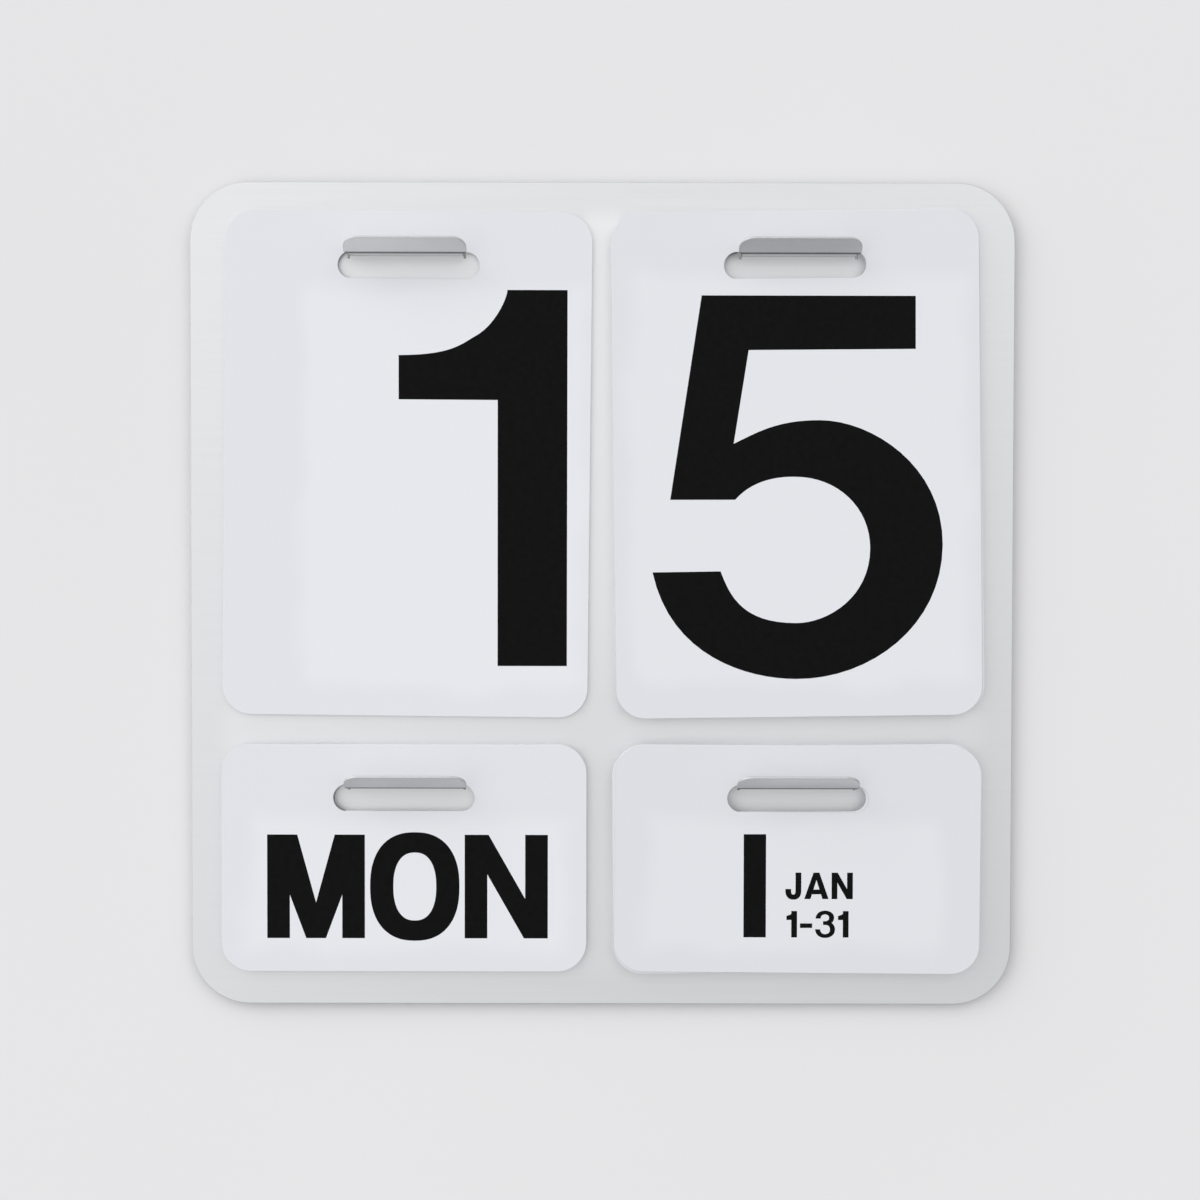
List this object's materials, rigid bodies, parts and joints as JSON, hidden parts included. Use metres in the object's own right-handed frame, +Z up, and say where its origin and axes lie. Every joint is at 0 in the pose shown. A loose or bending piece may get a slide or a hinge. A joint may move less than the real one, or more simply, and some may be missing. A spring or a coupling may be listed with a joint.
{
  "type": "perpetual wall calendar",
  "caption": "Square metal wall plate with hooks pressed out of the sheet and packs of slotted plastic cards that hang on them to show the day, weekday and month.",
  "frame": {"origin": "on the wall plane, behind the centre of the square plate", "axes": "+Z up the wall, +Y into the wall, so the front faces -Y, and +X to the right as seen from the front"},
  "size_m": [0.31, 0.0179, 0.31],
  "materials": {
    "anodised_aluminium": "satin anodised, fine horizontal brush lines",
    "card_plastic": "white, semi-matt, printed in black",
    "zinc_steel": "zinc plated",
    "bumper_rubber": "translucent grey"
  },
  "bodies": {
    "plate": {"back_plate": "anodised_aluminium", "hanger_bracket": "zinc_steel", "bumper_top_left": "bumper_rubber", "bumper_top_right": "bumper_rubber", "bumper_bottom_left": "bumper_rubber", "bumper_bottom_right": "bumper_rubber"},
    "tens_card_blank": {"tens_card_blank": "card_plastic"},
    "tens_card_3": {"tens_card_3": "card_plastic"},
    "tens_card_2": {"tens_card_2": "card_plastic"},
    "tens_card_1": {"tens_card_1": "card_plastic"},
    "units_card_4": {"units_card_4": "card_plastic"},
    "units_card_3": {"units_card_3": "card_plastic"},
    "units_card_2": {"units_card_2": "card_plastic"},
    "units_card_1": {"units_card_1": "card_plastic"},
    "units_card_0": {"units_card_0": "card_plastic"},
    "units_card_9": {"units_card_9": "card_plastic"},
    "units_card_8": {"units_card_8": "card_plastic"},
    "units_card_7": {"units_card_7": "card_plastic"},
    "units_card_6": {"units_card_6": "card_plastic"},
    "units_card_5": {"units_card_5": "card_plastic"},
    "weekday_card_7": {"weekday_card_7": "card_plastic"},
    "weekday_card_6": {"weekday_card_6": "card_plastic"},
    "weekday_card_5": {"weekday_card_5": "card_plastic"},
    "weekday_card_4": {"weekday_card_4": "card_plastic"},
    "weekday_card_3": {"weekday_card_3": "card_plastic"},
    "weekday_card_2": {"weekday_card_2": "card_plastic"},
    "weekday_card_1": {"weekday_card_1": "card_plastic"},
    "month_card_12": {"month_card_12": "card_plastic"},
    "month_card_11": {"month_card_11": "card_plastic"},
    "month_card_10": {"month_card_10": "card_plastic"},
    "month_card_09": {"month_card_09": "card_plastic"},
    "month_card_08": {"month_card_08": "card_plastic"},
    "month_card_07": {"month_card_07": "card_plastic"},
    "month_card_06": {"month_card_06": "card_plastic"},
    "month_card_05": {"month_card_05": "card_plastic"},
    "month_card_04": {"month_card_04": "card_plastic"},
    "month_card_03": {"month_card_03": "card_plastic"},
    "month_card_02": {"month_card_02": "card_plastic"},
    "month_card_01": {"month_card_01": "card_plastic"}
  },
  "joints": [
    {"name": "tens_card_blank_off_hook", "type": "slide", "parent": "plate", "child": "tens_card_blank", "axis": [0, -0.8348, 0.5505], "range_m": [0, 0.02]},
    {"name": "tens_card_3_off_hook", "type": "slide", "parent": "tens_card_blank", "child": "tens_card_3", "axis": [0, -0.8348, 0.5505], "range_m": [0, 0.02]},
    {"name": "tens_card_2_off_hook", "type": "slide", "parent": "tens_card_3", "child": "tens_card_2", "axis": [0, -0.8348, 0.5505], "range_m": [0, 0.02]},
    {"name": "tens_card_1_off_hook", "type": "slide", "parent": "tens_card_2", "child": "tens_card_1", "axis": [0, -0.8348, 0.5505], "range_m": [0, 0.02]},
    {"name": "units_card_4_off_hook", "type": "slide", "parent": "plate", "child": "units_card_4", "axis": [0, -0.8348, 0.5505], "range_m": [0, 0.02]},
    {"name": "units_card_3_off_hook", "type": "slide", "parent": "units_card_4", "child": "units_card_3", "axis": [0, -0.8348, 0.5505], "range_m": [0, 0.02]},
    {"name": "units_card_2_off_hook", "type": "slide", "parent": "units_card_3", "child": "units_card_2", "axis": [0, -0.8348, 0.5505], "range_m": [0, 0.02]},
    {"name": "units_card_1_off_hook", "type": "slide", "parent": "units_card_2", "child": "units_card_1", "axis": [0, -0.8348, 0.5505], "range_m": [0, 0.02]},
    {"name": "units_card_0_off_hook", "type": "slide", "parent": "units_card_1", "child": "units_card_0", "axis": [0, -0.8348, 0.5505], "range_m": [0, 0.02]},
    {"name": "units_card_9_off_hook", "type": "slide", "parent": "units_card_0", "child": "units_card_9", "axis": [0, -0.8348, 0.5505], "range_m": [0, 0.02]},
    {"name": "units_card_8_off_hook", "type": "slide", "parent": "units_card_9", "child": "units_card_8", "axis": [0, -0.8348, 0.5505], "range_m": [0, 0.02]},
    {"name": "units_card_7_off_hook", "type": "slide", "parent": "units_card_8", "child": "units_card_7", "axis": [0, -0.8348, 0.5505], "range_m": [0, 0.02]},
    {"name": "units_card_6_off_hook", "type": "slide", "parent": "units_card_7", "child": "units_card_6", "axis": [0, -0.8348, 0.5505], "range_m": [0, 0.02]},
    {"name": "units_card_5_off_hook", "type": "slide", "parent": "units_card_6", "child": "units_card_5", "axis": [0, -0.8348, 0.5505], "range_m": [0, 0.02]},
    {"name": "weekday_card_7_off_hook", "type": "slide", "parent": "plate", "child": "weekday_card_7", "axis": [0, -0.8348, 0.5505], "range_m": [0, 0.02]},
    {"name": "weekday_card_6_off_hook", "type": "slide", "parent": "weekday_card_7", "child": "weekday_card_6", "axis": [0, -0.8348, 0.5505], "range_m": [0, 0.02]},
    {"name": "weekday_card_5_off_hook", "type": "slide", "parent": "weekday_card_6", "child": "weekday_card_5", "axis": [0, -0.8348, 0.5505], "range_m": [0, 0.02]},
    {"name": "weekday_card_4_off_hook", "type": "slide", "parent": "weekday_card_5", "child": "weekday_card_4", "axis": [0, -0.8348, 0.5505], "range_m": [0, 0.02]},
    {"name": "weekday_card_3_off_hook", "type": "slide", "parent": "weekday_card_4", "child": "weekday_card_3", "axis": [0, -0.8348, 0.5505], "range_m": [0, 0.02]},
    {"name": "weekday_card_2_off_hook", "type": "slide", "parent": "weekday_card_3", "child": "weekday_card_2", "axis": [0, -0.8348, 0.5505], "range_m": [0, 0.02]},
    {"name": "weekday_card_1_off_hook", "type": "slide", "parent": "weekday_card_2", "child": "weekday_card_1", "axis": [0, -0.8348, 0.5505], "range_m": [0, 0.02]},
    {"name": "month_card_12_off_hook", "type": "slide", "parent": "plate", "child": "month_card_12", "axis": [0, -0.8348, 0.5505], "range_m": [0, 0.02]},
    {"name": "month_card_11_off_hook", "type": "slide", "parent": "month_card_12", "child": "month_card_11", "axis": [0, -0.8348, 0.5505], "range_m": [0, 0.02]},
    {"name": "month_card_10_off_hook", "type": "slide", "parent": "month_card_11", "child": "month_card_10", "axis": [0, -0.8348, 0.5505], "range_m": [0, 0.02]},
    {"name": "month_card_09_off_hook", "type": "slide", "parent": "month_card_10", "child": "month_card_09", "axis": [0, -0.8348, 0.5505], "range_m": [0, 0.02]},
    {"name": "month_card_08_off_hook", "type": "slide", "parent": "month_card_09", "child": "month_card_08", "axis": [0, -0.8348, 0.5505], "range_m": [0, 0.02]},
    {"name": "month_card_07_off_hook", "type": "slide", "parent": "month_card_08", "child": "month_card_07", "axis": [0, -0.8348, 0.5505], "range_m": [0, 0.02]},
    {"name": "month_card_06_off_hook", "type": "slide", "parent": "month_card_07", "child": "month_card_06", "axis": [0, -0.8348, 0.5505], "range_m": [0, 0.02]},
    {"name": "month_card_05_off_hook", "type": "slide", "parent": "month_card_06", "child": "month_card_05", "axis": [0, -0.8348, 0.5505], "range_m": [0, 0.02]},
    {"name": "month_card_04_off_hook", "type": "slide", "parent": "month_card_05", "child": "month_card_04", "axis": [0, -0.8348, 0.5505], "range_m": [0, 0.02]},
    {"name": "month_card_03_off_hook", "type": "slide", "parent": "month_card_04", "child": "month_card_03", "axis": [0, -0.8348, 0.5505], "range_m": [0, 0.02]},
    {"name": "month_card_02_off_hook", "type": "slide", "parent": "month_card_03", "child": "month_card_02", "axis": [0, -0.8348, 0.5505], "range_m": [0, 0.02]},
    {"name": "month_card_01_off_hook", "type": "slide", "parent": "month_card_02", "child": "month_card_01", "axis": [0, -0.8348, 0.5505], "range_m": [0, 0.02]}
  ]
}
